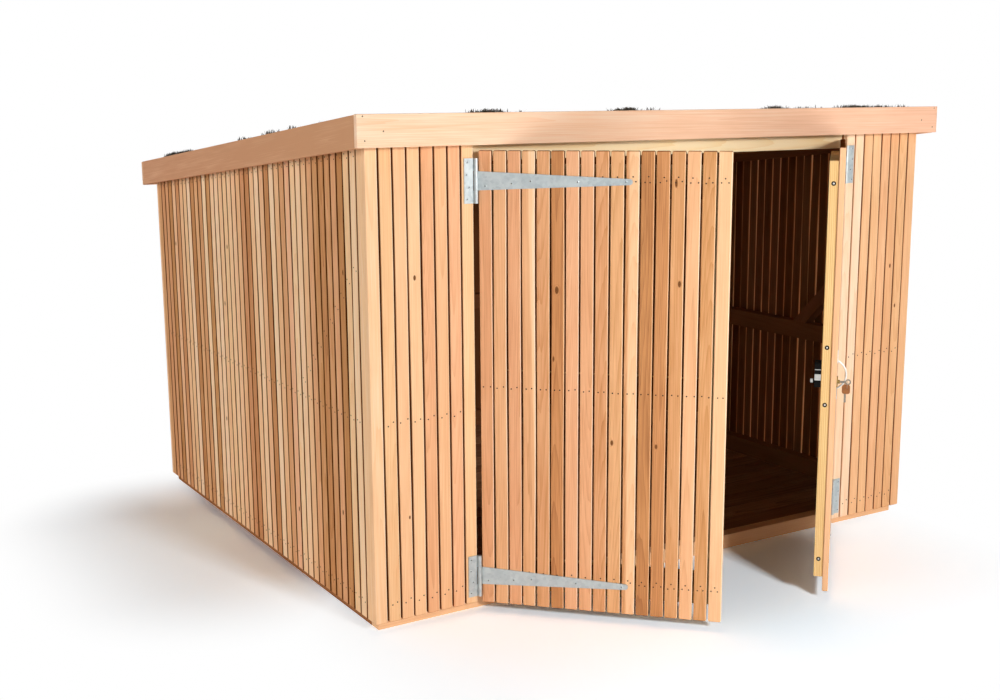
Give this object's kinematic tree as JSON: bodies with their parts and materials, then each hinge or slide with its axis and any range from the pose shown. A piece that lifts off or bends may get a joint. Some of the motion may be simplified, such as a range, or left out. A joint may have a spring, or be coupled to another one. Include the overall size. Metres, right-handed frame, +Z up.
{
  "type": "bike shelter",
  "caption": "Slatted timber bike shelter with a green roof that falls to the back, a boarded floor and a pair of slatted doors on tapered tee hinges.",
  "frame": {"origin": "on the ground, under the middle of the slatted box, on the underside of the middle floor joist", "axes": "+X to the right seen from the front, +Y from the doors to the back wall, +Z up"},
  "size_m": [2.282, 2.4931, 1.5238],
  "materials": {
    "larch_slats": "planed, untreated, colours vary from slat to slat",
    "pine_frame": "planed, untreated",
    "floor_boards": "rough sawn, dark",
    "sedum": "low succulent growth on a grown mat",
    "galvanised_steel": "hot-dip galvanised, faint spangle",
    "lock_steel": "black lacquer",
    "brass_cylinder": "satin",
    "bright_handle": "bright"
  },
  "bodies": {
    "shelter": {"base_front_rail": "pine_frame", "base_back_rail": "pine_frame", "base_left_rail": "pine_frame", "base_right_rail": "pine_frame", "floor_joists": "pine_frame", "floor_boards": "floor_boards", "corner_posts": "pine_frame", "door_posts": "pine_frame", "front_header": "pine_frame", "front_panel_rails": "pine_frame", "left_wall_rails": "pine_frame", "right_wall_rails": "pine_frame", "back_wall_rails": "pine_frame", "left_wall_brace": "pine_frame", "right_wall_brace": "pine_frame", "left_wall_slats": "larch_slats", "right_wall_slats": "larch_slats", "back_wall_slats": "larch_slats", "front_left_slats": "larch_slats", "front_right_slats": "larch_slats", "roof_rafters": "pine_frame", "roof_deck": "pine_frame", "sedum_mat": "sedum", "sedum_cushions": "sedum", "fascia_front": "larch_slats", "fascia_back": "larch_slats", "fascia_left": "larch_slats", "fascia_right": "larch_slats", "left_hinge_leaves": "galvanised_steel", "left_hinge_pins": "galvanised_steel", "right_hinge_leaves": "galvanised_steel", "right_hinge_pins": "galvanised_steel"},
    "left_door": {"left_door_slats": "larch_slats", "left_door_stiles": "pine_frame", "left_door_ledges": "pine_frame", "left_door_straps": "galvanised_steel"},
    "right_door": {"right_door_slats": "larch_slats", "right_door_stiles": "pine_frame", "right_door_ledges": "pine_frame", "right_door_straps": "galvanised_steel", "lock_case": "lock_steel", "lock_cylinder": "brass_cylinder", "pull_handle": "bright_handle", "door_key": "brass_cylinder"}
  },
  "joints": [
    {"name": "left_door_hinge", "type": "hinge", "parent": "shelter", "child": "left_door", "pos_m": [-0.7455, -0.968, 0.7], "axis": [0, 0, -1], "range_deg": [-45.5, 124.5]},
    {"name": "right_door_hinge", "type": "hinge", "parent": "shelter", "child": "right_door", "pos_m": [0.7455, -0.968, 0.7], "axis": [0, 0, 1], "range_deg": [-44.3, 125.7]}
  ]
}
